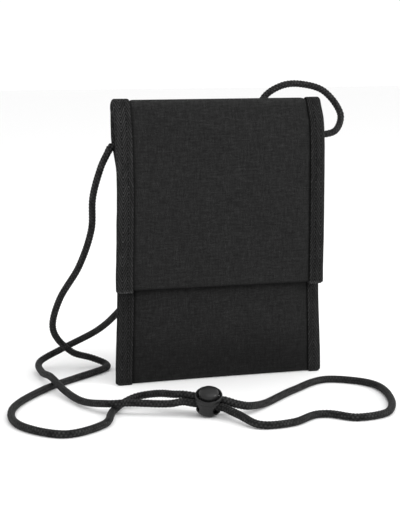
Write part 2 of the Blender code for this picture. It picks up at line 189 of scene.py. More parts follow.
ROUTE_LOOP = (
    (-18.4, -94.8, 7.1), (-10.0, -92.5, 4.8), (6.0, -78.2, 2.2), (32.0, -53.5, 2.0),
    (60.7, -33.7, 2.0), (83.5, -51.0, 2.0), (82.6, -82.4, 2.0), (66.0, -119.0, 2.0),
    (44.4, -125.2, 2.0), (32.0, -113.4, 2.0), (23.0, -112.8, 2.0), (5.4, -124.6, 2.0),
    (-14.3, -125.0, 2.5), (-21.5, -107.5, 4.3),
)
ROUTE_FROM_LOCK = (
    (-54.4, -83.8, 7.5), (-60.6, -82.0, 7.3), (-69.0, -78.5, 7.4), (-77.6, -74.0, 7.2),
    (-88.4, -70.0, 6.5), (-99.3, -49.0, 3.4), (-105.1, -22.5, 3.8), (-109.2, 4.0, 7.0),
    (-110.7, 28.0, 4.8), (-107.2, 53.5, 6.2), (-89.9, 60.0, 12.9), (-69.8, 44.0, 27.2),
    (-59.5, 17.0, 46.5), (-42.0, 8.2, 69.0), (-10.0, 7.4, 112.0), (19.0, 10.0, 152.0),
    (35.8, 17.0, 179.1), (48.2, 17.0, 186.8), (61.9, 17.0, 187.6), (76.8, 15.0, 182.8),
    (85.7, 8.5, 168.6), (80.7, 3.6, 158.0), (68.7, 2.6, 154.8),
)


# --- helpers


def ramp(value, start, end):
    """Goes smoothly from 0 at start to 1 at end, and stays level outside them."""
    share = np.clip((value - start) / (end - start), 0.0, 1.0)
    return share * share * (3 - 2 * share)


def bell(value, centre, width):
    """1 at the centre, falling off to both sides over about the width."""
    return np.exp(-(((value - centre) / width) ** 2))


def smooth_curve(points, per_span):
    """Points along the Catmull-Rom curve through the given points."""
    points = [Vector(point) for point in points]
    ends = [2 * points[0] - points[1], *points, 2 * points[-1] - points[-2]]
    curve = []
    for before, start, end, after in zip(ends, ends[1:], ends[2:], ends[3:]):
        span = (end - start).length
        leave = (end - before) * span / ((start - before).length + span)
        arrive = (after - start) * span / (span + (after - end).length)
        for step in range(per_span):
            t = step / per_span
            curve.append(
                (2 * t**3 - 3 * t**2 + 1) * start
                + (t**3 - 2 * t**2 + t) * leave
                + (3 * t**2 - 2 * t**3) * end
                + (t**3 - t**2) * arrive
            )
    curve.append(points[-1])
    return curve


def lengths_along(points):
    """How far along the line each of its points is."""
    return np.concatenate([[0], np.cumsum(np.linalg.norm(np.diff(points, axis=0), axis=1))])


def even_line(points, step):
    """The same line as an array of points a step apart, and each one's length along it."""
    points = np.array([tuple(point) for point in points])
    along = lengths_along(points)
    places = np.linspace(0, along[-1], max(2, round(along[-1] / step) + 1))
    line = np.stack([np.interp(places, along, points[:, axis]) for axis in range(3)], 1)
    return line, places


def field(x, z, scale, seed):
    """Smooth noise from -1 to 1 on arrays of places, with features of about scale millimetres."""
    x, z = np.broadcast_arrays(x, z)
    values = [noise.noise(Vector((a / scale, b / scale, seed))) for a, b in zip(x.ravel(), z.ravel())]
    return np.array(values).reshape(x.shape)


def linked(name, data):
    """A new object with this mesh, light or camera, in the scene."""
    obj = bpy.data.objects.new(name, data)
    bpy.context.scene.collection.objects.link(obj)
    return obj


def object_from(name, verts, faces):
    mesh = bpy.data.meshes.new(name)
    mesh.from_pydata([tuple(vert) for vert in verts], [], faces)
    return linked(name, mesh)


def object_from_bmesh(name, bm):
    mesh = bpy.data.meshes.new(name)
    bm.to_mesh(mesh)
    bm.free()
    return linked(name, mesh)


def closed(obj):
    """Fills the open ends, if the mesh has any, and turns its faces outward."""
    bm = bmesh.new()
    bm.from_mesh(obj.data)
    bmesh.ops.holes_fill(bm, edges=[edge for edge in bm.edges if edge.is_boundary], sides=0)
    bmesh.ops.recalc_face_normals(bm, faces=bm.faces)
    bm.to_mesh(obj.data)
    bm.free()
    return obj


def set_cloth_map(obj, across, along):
    """A UV map in millimetres of cloth: across and along are given for each vertex."""
    mesh = obj.data
    layer = mesh.uv_layers.new(name="cloth")
    corners = np.empty(len(mesh.loops), np.int32)
    mesh.loops.foreach_get("vertex_index", corners)
    flat = np.stack([across[corners], along[corners]], 1).astype(np.float32)
    layer.data.foreach_set("uv", flat.ravel())


def grid(name, points, across, along, wear_and_painted_light, outward_first=True, ring=False):
    """A sheet through rows of points. across, along and the wear and painted light for its colour are spread
    over the rows and columns.
    """
    rows, columns = points.shape[:2]
    across, along, wear_and_painted_light = (np.broadcast_to(value, (rows, columns)).ravel() for value in (across, along, wear_and_painted_light))
    faces = []
    for row in range(rows - 1):
        for column in range(columns if ring else columns - 1):
            here = row * columns + column
            beside = row * columns + (column + 1) % columns
            face = (here, here + columns, beside + columns, beside)
            faces.append(face if outward_first else face[::-1])
    obj = object_from(name, points.reshape(-1, 3) * MM, faces)
    set_cloth_map(obj, across, along)
    layer = obj.data.attributes.new("wear_and_painted_light", "FLOAT", "POINT")
    layer.data.foreach_set("value", wear_and_painted_light.astype(np.float32))
    return obj


def finish(obj, sharp=50):
    """Applies the modifiers and smooths the shading, except at edges sharper than that many degrees."""
    graph = bpy.context.evaluated_depsgraph_get()
    mesh = bpy.data.meshes.new_from_object(obj.evaluated_get(graph), depsgraph=graph)
    obj.modifiers.clear()
    obj.data = mesh
    mesh.shade_smooth()
    mesh.set_sharp_from_angle(angle=radians(sharp))


def round_edges(obj, width, segments, angle):
    """Rounds the edges where the faces meet at more than that angle in degrees."""
    bevel = obj.modifiers.new("edge", "BEVEL")
    bevel.width = width * MM
    bevel.segments = segments
    bevel.limit_method = "ANGLE"
    bevel.angle_limit = radians(angle)


def cut_away(obj, cutters, edge_round=0.0, sharp=50):
    """Takes the cutters' shapes out of the object. The cutters are used up."""
    for cutter in cutters:
        modifier = obj.modifiers.new(cutter.name, "BOOLEAN")
        modifier.operation = "DIFFERENCE"
        modifier.object = cutter
    if edge_round:
        round_edges(obj, edge_round, 2, 38)
    finish(obj, sharp)
    for cutter in cutters:
        bpy.data.objects.remove(cutter)


def thicken(obj, thickness, edge_round=0.0):
    """Gives a sheet its thickness, inward from the modelled face."""
    solidify = obj.modifiers.new("thickness", "SOLIDIFY")
    solidify.thickness = thickness * MM
    solidify.offset = -1
    solidify.use_even_offset = True
    solidify.thickness_clamp = 1
    if edge_round:
        round_edges(obj, edge_round, 2, 60)
    finish(obj)


def coat(obj, material):
    """Makes this the object's only material."""
    obj.data.materials.clear()
    obj.data.materials.append(material)


def paint(obj, material):
    coat(obj, material)
    return obj


# --- materials


class Shader:
    """A Principled material and short ways to add nodes to it."""

    def __init__(self, name, roughness, specular):
        self.material = bpy.data.materials.new(name)
        self.material.use_nodes = True
        self.tree = self.material.node_tree
        self.principled = self.tree.nodes["Principled BSDF"]
        self.principled.inputs["Roughness"].default_value = roughness
        self.principled.inputs["Specular IOR Level"].default_value = specular

    def add(self, kind, inputs=(), **settings):
        made = self.tree.nodes.new("ShaderNode" + kind)
        for key, value in settings.items():
            setattr(made, key, value)
        for key, value in dict(inputs).items():
            self.put(value, made.inputs[key])
        return made

    def put(self, value, socket):
        if isinstance(value, bpy.types.NodeSocket):
            self.tree.links.new(value, socket)
        else:
            socket.default_value = value

    def math(self, operation, first, second=0.0, third=0.0):
        made = self.add("Math", {0: first, 1: second, 2: third}, operation=operation)
        return made.outputs[0]

    def times(self, first, second):
        return self.math("MULTIPLY", first, second)

    def plus(self, first, second):
        return self.math("ADD", first, second)

    def remap(self, value, low, high):
        """Low where the value is 0, and high where it is 1."""
        return self.math("MULTIPLY_ADD", value, high - low, low)

    def ribs(self, place, pitch):
        """Rounded ribs from 0 to 1, one for each pitch of the place, and each rib's number."""
        count = self.math("DIVIDE", place, pitch)
        part = self.math("FRACT", count)
        return self.math("SINE", self.times(part, pi)), self.math("FLOOR", count)

    def varied(self, shade, *changes):
        """The shade times each (value, low, high), taken to its range."""
        for change in changes:
            shade = self.times(shade, self.remap(*change))
        return shade

    def painted_light_and_wear(self, value, low, high):
        """The colour factor from the wear and painted light attribute, which takes hold more where the value
        is high.
        """
        wear_and_painted_light = self.add("Attribute", attribute_name="wear_and_painted_light").outputs["Fac"]
        return self.math("MULTIPLY_ADD", wear_and_painted_light, self.remap(value, low, high), 1.0)

    def cloth_place(self):
        place = self.add("UVMap", uv_map="cloth")
        parts = self.add("SeparateXYZ", {0: place.outputs[0]})
        return parts.outputs[0], parts.outputs[1]

    def noise(self, x, y, size_x, size_y, seed, detail=2.0):
        """Noise from 0 to 1 on the cloth, with features of about size_x by size_y."""
        parts = {0: self.math("DIVIDE", x, size_x), 1: self.math("DIVIDE", y, size_y), 2: seed}
        place = self.add("CombineXYZ", parts).outputs[0]
        return self.add("TexNoise", {"Vector": place, "Scale": 1.0, "Detail": detail}).outputs[0]

    def grain(self, scale, detail, distortion=0.0):
        """Noise from 0 to 1 that is fixed to the object."""
        place = self.add("TexCoord").outputs["Object"]
        settings = {"Vector": place, "Scale": scale, "Detail": detail, "Distortion": distortion}
        return self.add("TexNoise", settings).outputs[0]

    def color(self, base, factor):
        """The base colour times a factor that changes over the surface."""
        scaled = self.add("VectorMath", {0: base, "Scale": factor}, operation="SCALE")
        self.put(scaled.outputs[0], self.principled.inputs["Base Color"])

    def bump(self, height, depth_mm, strength):
        made = self.add("Bump", {"Height": height, "Distance": depth_mm * MM, "Strength": strength})
        self.put(made.outputs[0], self.principled.inputs["Normal"])

    def sheen(self, weight, roughness, tint):
        self.principled.inputs["Sheen Weight"].default_value = weight
        self.principled.inputs["Sheen Roughness"].default_value = roughness
        self.principled.inputs["Sheen Tint"].default_value = (tint, tint, tint, 1.0)


def canvas_material(name, base, pitch, sheen_weight):
    """Plain weave: threads over and under each other, uneven in thickness and shade."""
    shader = Shader(name, 0.85, 0.10)
    u, v = shader.cloth_place()
    sines = []
    cells = []
    streaks = []
    for own, other, seed in ((u, v, 3.0), (v, u, 11.0)):
        sine, cell = shader.ribs(own, pitch)
        sines.append(sine)
        cells.append(cell)
        streaks.append(shader.noise(other, shader.times(cell, 3.71), 5.5, 1.0, seed))
    over = shader.math("FLOORED_MODULO", shader.plus(*cells), 2.0)
    top = shader.add("Mix", {0: over, 2: sines[1], 3: sines[0]}).outputs[0]
    streak = shader.add("Mix", {0: over, 2: streaks[1], 3: streaks[0]}).outputs[0]
    height = shader.times(shader.plus(top, shader.times(*sines)), 0.5)
    slub_across = shader.noise(u, v, 7.0, 1.4, 5.0)
    slub_along = shader.noise(u, v, 1.4, 7.0, 8.0)
    fleck = shader.noise(u, v, 1.1, 1.1, 9.0, 1.0)
    cloudy = shader.noise(u, v, 30.0, 30.0, 2.0)
    shade = shader.varied(
        shader.remap(height, 0.40, 1.42),
        (streak, 0.30, 1.70),
        (slub_across, 0.50, 1.50),
        (slub_along, 0.50, 1.50),
        (fleck, 0.45, 1.55),
        (cloudy, 0.90, 1.10),
    )
    shader.color(base, shader.times(shade, shader.painted_light_and_wear(streak, 0.5, 1.5)))
    relief = height
    for value, share in ((streak, 0.8), (slub_across, 0.9), (slub_along, 0.7)):
        relief = shader.plus(relief, shader.times(value, share))
    shader.bump(relief, 0.20, 0.9)
    shader.sheen(sheen_weight, 0.45, 0.55)
    return shader.material


def binding_material(name, base):
    """Herringbone tape: twill ribs whose slant turns at each column, with a dashed line at the turns."""
    column = 3.4
    rib = 3.1
    slope = 2.2
    dash = 1.9
    shader = Shader(name, 0.82, 0.08)
    u, v = shader.cloth_place()
    zigzag = shader.math("PINGPONG", u, column)
    height, number = shader.ribs(shader.plus(v, shader.times(zigzag, slope)), rib)
    uneven = shader.noise(u, shader.times(number, 2.93), 2.0, 1.0, 4.0)
    fine = shader.noise(u, v, 0.5, 0.5, 6.0, 1.0)
    turn = shader.math("DIVIDE", zigzag, column)
    from_middle = shader.math("ABSOLUTE", shader.math("SUBTRACT", turn, 0.5))
    crease = shader.math("GREATER_THAN", from_middle, 0.40)
    dashes = shader.math("SINE", shader.times(v, 2 * pi / dash))
    dashed = shader.times(crease, shader.remap(dashes, -0.15, 0.55))
    shade = shader.varied(shader.remap(height, 0.20, 1.52), (uneven, 0.10, 1.90), (fine, 0.40, 1.60))
    shade = shader.times(shade, shader.plus(dashed, 1.0))
    shader.color(base, shader.times(shade, shader.painted_light_and_wear(uneven, 0.3, 1.4)))
    shader.bump(shader.plus(height, shader.times(fine, 0.35)), 0.24, 0.9)
    shader.sheen(0.02, 0.4, 0.6)
    return shader.material


def braid_material(name, base):
    """Braided cord: painted shade darkens the valleys between the strands, so the crowns are lighter."""
    shader = Shader(name, 0.72, 0.12)
    u, v = shader.cloth_place()
    # The attribute holds the braid's height, from valley to crown, which sets this painted shade.
    crown = shader.add("Attribute", attribute_name="wear_and_painted_light").outputs["Fac"]
    fibre = shader.noise(u, v, 0.2, 1 / 3, 1.0)
    patch = shader.noise(u, v, 3.0, 9.0, 7.0)
    speckle = shader.noise(u, v, 1.3, 5.0, 3.0)
    shade = shader.varied(
        shader.remap(crown, -0.10, 1.75),
        (fibre, 0.45, 1.55),
        (speckle, -0.8, 2.8),
        (patch, 0.65, 1.35),
    )
    shader.color(base, shade)
    shader.bump(fibre, 0.08, 0.6)
    shader.sheen(0.04, 0.4, 0.6)
    return shader.material


def thread_material(name, base):
    """Sewing thread: a fine twist along each stitch."""
    shader = Shader(name, 0.6, 0.25)
    place = shader.add("TexCoord").outputs["Object"]
    twist = shader.add("TexWave", {"Vector": place, "Scale": 700.0, "Distortion": 1.5}).outputs["Fac"]
    shader.color(base, shader.remap(twist, 0.7, 1.25))
    shader.bump(twist, 0.05, 0.6)
    return shader.material


def plastic_material(name, base, roughness):
    """Moulded plastic: a fine eroded grain, with scuffs that catch the light."""
    shader = Shader(name, roughness, 0.26)
    scuff = shader.grain(260.0, 6.0, 1.2)
    shader.color(base, shader.remap(scuff, 0.82, 1.18))
    shader.put(shader.remap(scuff, roughness - 0.08, roughness + 0.10), shader.principled.inputs["Roughness"])
    shader.bump(shader.grain(2600.0, 3.0), 0.03, 0.5)
    return shader.material


def closure_material(name, base, pile):
    """Hook or loop tape: rows of small tufts."""
    shader = Shader(name, 0.9, 0.2)
    place = shader.add("TexCoord").outputs["Object"]
    tuft = shader.add("TexVoronoi", {"Vector": place, "Scale": 1000.0 / pile, "Randomness": 0.7}).outputs[0]
    fuzz = shader.grain(900.0, 4.0)
    shader.color(base, shader.times(shader.remap(tuft, 1.3, 0.5), shader.remap(fuzz, 0.6, 1.4)))
    shader.bump(shader.math("SUBTRACT", fuzz, tuft), 0.25, 0.9)
    shader.sheen(0.25, 0.5, 0.5)
    return shader.material


def steel_material(name, base):
    """Drawn spring wire."""
    shader = Shader(name, 0.28, 0.5)
    shader.principled.inputs["Metallic"].default_value = 1.0
    drawn = shader.grain(1500.0, 2.0)
    shader.color(base, shader.remap(drawn, 0.8, 1.15))
    shader.bump(drawn, 0.01, 0.4)
    return shader.material


CANVAS_CLOTH = canvas_material("black_canvas", (0.0138, 0.0139, 0.0138), WEAVE_PITCH, 0.01)
LINING_CLOTH = canvas_material("black_lining", (0.0130, 0.0130, 0.0130), 0.35, 0.05)
BINDING_TAPE = binding_material("black_herringbone", (0.0113, 0.0113, 0.0113))
CORD_BRAID = braid_material("black_braid", (0.0172, 0.0172, 0.0172))
THREAD = thread_material("black_thread", (0.0115, 0.0115, 0.0115))
LOCK_PLASTIC = plastic_material("black_plastic", (0.0105, 0.0105, 0.0105), 0.34)
HOOK_PILE = closure_material("hook_pile", (0.016, 0.016, 0.017), 0.9)
LOOP_PILE = closure_material("loop_pile", (0.016, 0.016, 0.017), 0.6)
STEEL = steel_material("spring_steel", (0.60, 0.60, 0.62))


# --- pouch body


def seam_y(z):
    """The side seams' plane from the side: it leans back near the top, to meet the fold."""
    return SEAM_Y + TOP_SET_BACK * ramp(z, SET_BACK_LOW_Z, SET_BACK_HIGH_Z)


def base_depth(x, z):
    """How far the body's faces stand from the seam plane, before any unevenness."""
    across = ramp(np.abs(x), BULGE_EDGE_X, BULGE_FLAT_X)
    up = ramp(z, FOLD_LOW_Z, FOLD_LOW_Z + BULGE_RISE)
    return SEAM_HALF + CANVAS + BULGE * across * up


def inner_edge(x, inner):
    """The tape's inner edge on the side that x lies on."""
    return np.where(np.asarray(x) < 0, inner[-1], inner[1])


def pucker(x, z, inner, seed):
    """The dip beside a sewn tape, and the small waves that its stitches pull into the cloth."""
    beside = np.abs(x) - inner_edge(x, inner)
    dip = 0.75 * bell(beside, 0, 1.3) + 0.35 * (beside > 0) * bell(beside, 0, 4.0)
    reach = np.exp(-np.clip(-beside, 0, None) / 7.0)
    waves = 0.16 * reach * field(np.sign(x) * 40.0, z, 4.6, seed)
    return dip - waves


def seam_shade(x, inner):
    """How much darker the cloth is in the groove beside a tape."""
    depth = np.where(np.asarray(x) < 0, 0.36, 0.14)
    return depth * bell(np.abs(x), inner_edge(x, inner) - 0.5, 1.2)


def body_unevenness(x, z, seed):
    """Soft swells in the body's faces, none at the tapes and at the lower fold."""
    inside = ramp(np.abs(x), BODY_EDGE - 4, BODY_EDGE - 18)
    broad = 0.55 * field(x, z, 46.0, seed) + 0.16 * field(x, z, 17.0, seed + 5)
    return inside * broad * ramp(z, FOLD_LOW_Z, FOLD_LOW_Z + 12)


def front_depth(x, z):
    return base_depth(x, z) + body_unevenness(x, z, 1.3) - pucker(x, z, TAPE_INNER, 2.1)


def back_depth(x, z):
    """The back flattens towards the fold, where it carries on into the flap."""
    low = base_depth(x, z) + body_unevenness(x, z, 7.7) - pucker(x, z, TAPE_INNER, 9.4)
    top = BACK_JOIN.y - seam_y(z)
    return low + (top - low) * ramp(z, 150.0, BACK_JOIN.z)


def settle_body(points):
    """The pouch's lower corners spread a little, and its left edge leans back under the fold."""
    x, z = points[..., 0].copy(), points[..., 2].copy()
    low = ramp(z, 62, 0)
    right = ramp(x, 48, 67)
    left = ramp(x, 0, -67)
    top_left = ramp(z, 136, 158) * ramp(x, -50, -64)
    waist = bell(z, 124, 22) * left
    points[..., 0] += LOW_SHIFT * ramp(z, 120, 70) + BODY_WAIST * waist
    points[..., 0] += LOW_SPREAD_RIGHT * low * right - LOW_SPREAD_LEFT * low * left - TOP_LEFT_OUT * top_left
    points[..., 1] += TOP_LEFT_BACK * top_left - LOW_LEFT_FORWARD * low * left
    return points


def settle_flap(points):
    """The flap's edges stray a little: in below the fold, out at the hem, and up at the fold's left end."""
    x, y, z = (points[..., axis].copy() for axis in range(3))
    left = ramp(x, -40, -66)
    right = ramp(x, 40, 66)
    waist = bell(z, 124, 24)
    hem = ramp(z, 100, 65)
    top = ramp(z, 166, 176)
    back = ramp(y, 2, 6) * ramp(z, 180, 174)
    points[..., 0] += left * (FLAP_WAIST * waist - FLAP_HEM_OUT * hem - FLAP_BACK_OUT * back)
    points[..., 0] -= right * (FLAP_TOP_RIGHT_IN * top + 0.5 * FLAP_HEM_OUT * hem)
    points[..., 1] += left * FLAP_BACK_OUT * back
    points[..., 2] += FLAP_TOP_RISE * ramp(z, 164, 176) * (1 - 0.7 * ramp(x, 54, 60))
    return points


def columns_between(edge, inner):
    """Places across the cloth, closer together beside the tapes."""
    halves = []
    for near in (inner[-1], inner[1]):
        beside = np.linspace(near - 8.3, near + 3.5, 24)
        halves.append([*np.linspace(0, near - 9, 26)[1:], *beside, *np.linspace(near + 4.5, edge, 5)])
    left, right = (np.array(half) for half in halves)
    return np.concatenate([-left[::-1], [0], right])


def body_canvas():
    """One strip: the mouth's hem, the front, the fold at the lower edge and the back."""
    x = columns_between(BODY_CANVAS_EDGE, TAPE_INNER)[None, :]
    fold_height = 1.1
    bottom = FOLD_LOW_Z + fold_height
    hem_z = np.linspace(MOUTH_Z - MOUTH_HEM, MOUTH_Z - HEM_TURN, 12)[:, None]
    around = np.radians(np.linspace(0, 180, 8))[1:-1, None]
    front_z = np.linspace(MOUTH_Z - HEM_TURN, bottom, 130)[:, None]
    under = np.radians(np.linspace(180, 360, 10))[1:-1, None]
    back_z = np.linspace(bottom, BACK_JOIN.z + 1.2, 130)[:, None]

    def front_y(z):
        return seam_y(z) - front_depth(x, z)

    bottom_radius = front_depth(x, np.full((1, 1), bottom))
    parts = [
        (front_y(hem_z) + 2 * HEM_TURN, hem_z),
        (front_y(front_z[:1]) + HEM_TURN * (1 + np.cos(around)), front_z[0, 0] + HEM_TURN * np.sin(around)),
        (front_y(front_z), front_z),
        (SEAM_Y + bottom_radius * np.cos(under), bottom + fold_height * np.sin(under)),
        (seam_y(back_z) + back_depth(x, back_z) - 0.3 * (back_z > BACK_JOIN.z), back_z),
    ]
    points = np.concatenate([np.stack(np.broadcast_arrays(x, y, z), -1) for y, z in parts])
    along = lengths_along(points[:, points.shape[1] // 2])
    z = points[..., 2]
    # Painted colour on the body: lighter along the lower fold, painted shade darkening towards the bottom,
    # painted shade in the grooves beside the tapes, and a painted shadow on the front just under the flap's
    # hem.
    hem_shadow_z = FLAP_LOW.z - FLAP_DROP - 1.2
    wear_and_painted_light = 0.25 * bell(z, FOLD_LOW_Z, 1.4) - 0.05 - 0.34 * ramp(z, 42, 8) - seam_shade(x, TAPE_INNER)
    wear_and_painted_light = wear_and_painted_light - 0.24 * bell(z, hem_shadow_z, 1.6) * (points[..., 1] < SEAM_Y)
    obj = grid("body_canvas", settle_body(points), x, along[:, None], wear_and_painted_light)
    thicken(obj, CANVAS)
    paint(obj, CANVAS_CLOTH)
    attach(obj, "pouch")
    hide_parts("front_panel", "back_panel")


def slip_pocket():
    """The thin divider behind the front canvas."""
    low, high = edges("slip_pocket_divider")
    x = np.linspace(low.x, high.x, 60)[None, :]
    z = np.linspace(high.z, low.z, 60)[:, None]
    behind_front = 0.45
    y = seam_y(z) + CANVAS + behind_front - base_depth(x, z) + 0.12 * field(x, z, 20.0, 4.4)
    points = np.stack(np.broadcast_arrays(x, y, z), -1)
    obj = grid("slip_pocket", points, x, z, 0.0)
    thicken(obj, LINING)
    paint(obj, LINING_CLOTH)
    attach(obj, "pouch")
    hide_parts("slip_pocket_divider")


def tape_section(inner_x, edge, radius):
    """Places across a folded tape: (x, which leg, angle of the turn)."""
    shares = np.array([0, 0.02, 0.06, 0.12, 0.19, 0.26, 0.33, 0.42, 0.55, 0.7, 0.85, 1.0])
    leg = inner_x + shares * (edge - radius - inner_x)
    section = [(x, -1, 0.0) for x in leg]
    section += [(edge - radius, 0, angle) for angle in np.radians(np.linspace(-90, 90, 12))[1:-1]]
    section += [(x, 1, 0.0) for x in leg[::-1]]
    return section


def tape_lip(x, inner_x):
    """The tape's inner edge curls down a little, and its stitches sink into it."""
    return -0.30 * bell(x, inner_x, 0.7) - 0.16 * bell(x, inner_x + STITCH_INSET, 0.7)


def tape_shape(name, side, section, place, stations, inner_x, ends, painted_light_by_height):
    """A folded tape from its section and place(x, leg, angle, station). Its last two arguments set painted
    light: a painted highlight at the cut ends, and painted light and shade by height.
    """
    rows = []
    for station in stations:
        rows.append([place(x, leg, angle, station) for x, leg, angle in section])
    points = np.array(rows)
    from_inner = np.array([x for x, _, _ in section]) - inner_x
    outer = ramp(from_inner, from_inner.max() - 4, from_inner.max())
    into_corner = np.clip(END_ROUNDING - np.linalg.norm(points - points[-1:], axis=2), 0, None)
    points[..., 0] -= side * (END_ROUNDING - np.sqrt(END_ROUNDING**2 - into_corner**2)) * outer
    steps = np.linalg.norm(np.diff(points, axis=1), axis=2).mean(0)
    across = np.concatenate([[0], np.cumsum(steps)])
    along = lengths_along(points[:, len(section) // 4])
    from_end = np.minimum(along, along[-1] - along)[:, None]
    legs = np.array([leg for _, leg, _ in section])
    # Painted light on the tape: painted shade along the stitch groove, a painted highlight on the ridge at
    # the inner edge, a painted highlight at the cut ends, and painted light and shade by height and side. The
    # fold round the edge is lighter.
    stitch_groove_shade = 0.48 * bell(from_inner, STITCH_INSET, 1.4)
    ridge_highlight = 0.22 * bell(from_inner, 0.5, 0.55)
    painted_light_and_wear = np.where(legs == 0, 0.12, ridge_highlight - stitch_groove_shade)
    wear_and_painted_light = ends * bell(from_end, 0, 1.1) + painted_light_and_wear[None, :] + np.interp(points[..., 2], *painted_light_by_height)
    flat = (float(across[-1]) * MM, float(along[-1]) * MM)
    return grid(name, points, across, along[:, None], wear_and_painted_light, outward_first=side > 0), flat


def body_place(side, radius):
    """A function that gives each place on a side seam's folded tape."""
    edge_centre = BODY_EDGE - radius
    inner_x = TAPE_INNER[side]

    def place(x, leg, angle, z):
        wave = 0.10 * noise.noise(Vector((side * 9.0, z / 9.0, leg * 3.0)))
        if leg == 0:
            y = float(seam_y(z)) + radius * sin(angle)
            return side * (edge_centre + (radius + wave) * cos(angle)), y, z
        depth = front_depth if leg < 0 else back_depth
        sunk = float(depth(np.array(side * x), np.array(z)))
        plain = float(base_depth(np.array(x), np.array(z)))
        lift = max(sunk, plain - 0.25) if x < inner_x + 1.5 else plain
        share = float(np.clip((x - edge_centre + 4.1) / 3, 0, 1))
        outer = lift + PLY_GAP + TAPE + float(tape_lip(x, inner_x)) + wave
        outer = outer + (radius - outer) * share
        return side * x, float(seam_y(z)) + leg * outer, z

    return place


def settled(place, settle):
    """The same place function with the sewn shape's unevenness worked in."""

    def moved(*where):
        return tuple(settle(np.array(place(*where), float)))

    return moved


def body_binding(side, label):
    """The tape folded round one side seam, with a row of stitches through it."""
    radius = SEAM_HALF + CANVAS + PLY_GAP + TAPE
    inner_x = TAPE_INNER[side]
    section = tape_section(inner_x, BODY_EDGE, radius)
    stations = np.linspace(*BODY_TAPE_ENDS, 150)
    place = settled(body_place(side, radius), settle_body)
    name = "binding_" + label
    obj, flat = tape_shape(name, side, section, place, stations, inner_x, 0.6, BODY_TAPE_PAINTED_LIGHT[side])
    thicken(obj, TAPE, 0.2)
    notch_for_cord(obj, side)
    paint(obj, BINDING_TAPE)
    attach(obj, "pouch")
    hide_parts("body_binding_" + label)
    x = inner_x + STITCH_INSET
    heights = np.linspace(TAPE_HIGH.z - 2, 2.0, 160)
    runs = [([place(x, leg, 0.0, z) for z in heights], Vector((0, leg, 0))) for leg in (-1, 1)]
    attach(stitch_rows("binding_stitches_" + label, runs), "pouch")


def notch_for_cord(obj, side):
    """Opens the tape's fold where the cord comes out of the seam."""
    line = CORD_LINE if side < 0 else CORD_LINE[::-1]
    axis = Vector(line[6] - line[0]).normalized()
    radius = NOTCH_RADIUS * MM
    depth = NOTCH_DEPTH * MM
    bm = bmesh.new()
    bmesh.ops.create_cone(bm, cap_ends=True, segments=24, radius1=radius, radius2=radius, depth=depth)
    turn = axis.to_track_quat("Z", "Y").to_matrix().to_4x4()
    bm.transform(Matrix.Translation((Vector(line[0]) + NOTCH_OUT * axis) * MM) @ turn)
    cut_away(obj, [object_from_bmesh("notch", bm)])


def stitch_rows(name, runs):
    """Stitches along each run, a (line of points in mm, outward direction) pair, as one object."""
    template = bmesh.new()
    bmesh.ops.create_uvsphere(template, u_segments=8, v_segments=6, radius=0.5)
    shape = np.array([vert.co[:] for vert in template.verts])
    loops = [[vert.index for vert in face.verts] for face in template.faces]
    template.free()
    verts = []
    faces = []
    for line, outward in runs:
        line, places = even_line(line, 0.25)
        count = int(places[-1] / STITCH_PITCH)
        for number in range(count):
            middle = (number + 0.5) * STITCH_PITCH
            spot, ahead = (
                Vector([np.interp(where, places, line[:, axis]) for axis in range(3)])
                for where in (middle, middle + 0.5)
            )
            run = (ahead - spot).normalized()
            out = outward(spot) if callable(outward) else outward
            out = (out - run * out.dot(run)).normalized()
            aside = run.cross(out)
            lean = 0.10 * sin(number * 2.4)
            run = (run + aside * lean).normalized()
            axes = np.array([run * STITCH_LENGTH, aside * STITCH_WIDTH, out * STITCH_WIDTH * 0.8])
            start = len(verts)
            centre = np.array(spot + out * 0.04)
            verts.extend((shape @ axes + centre) * MM)
            faces.extend([[start + index for index in loop] for loop in loops])
    obj = object_from(name, verts, faces)
    obj.data.shade_smooth()
    return paint(obj, THREAD)


# --- flap


def flap_profile(low_z):
    """The flap's outer face from the side, in the row frame: rows of (place, outward direction)."""
    points = [tuple(BACK_JOIN), (0, 5.75, 173.4)]
    for degrees in range(0, 151, 25):
        angle = radians(degrees)
        points.append((0, HINGE.y + FOLD_RADIUS * cos(angle), HINGE.z + FOLD_RADIUS * sin(angle)))
    points += [(0, y, z) for y, z in FLAP_FRONT]
    points.append((0, FLAP_FRONT[-1][0], low_z))
    line, places = even_line(smooth_curve(points, 12), 0.9)
    ahead = np.gradient(line, axis=0)
    outward = np.stack([np.zeros(len(line)), ahead[:, 2], -ahead[:, 1]], 1)
    outward /= np.linalg.norm(outward, axis=1)[:, None]
    return line, outward, places


def flap_unevenness(x, along):
    """Soft swells in the flap, none at the tapes and over the fold."""
    inside = ramp(np.abs(x), FLAP_EDGE - 3, FLAP_EDGE - 17) * ramp(along, 12, 38)
    return inside * (0.50 * field(x, along, 52.0, 3.9) + 0.15 * field(x, along, 19.0, 7.9))


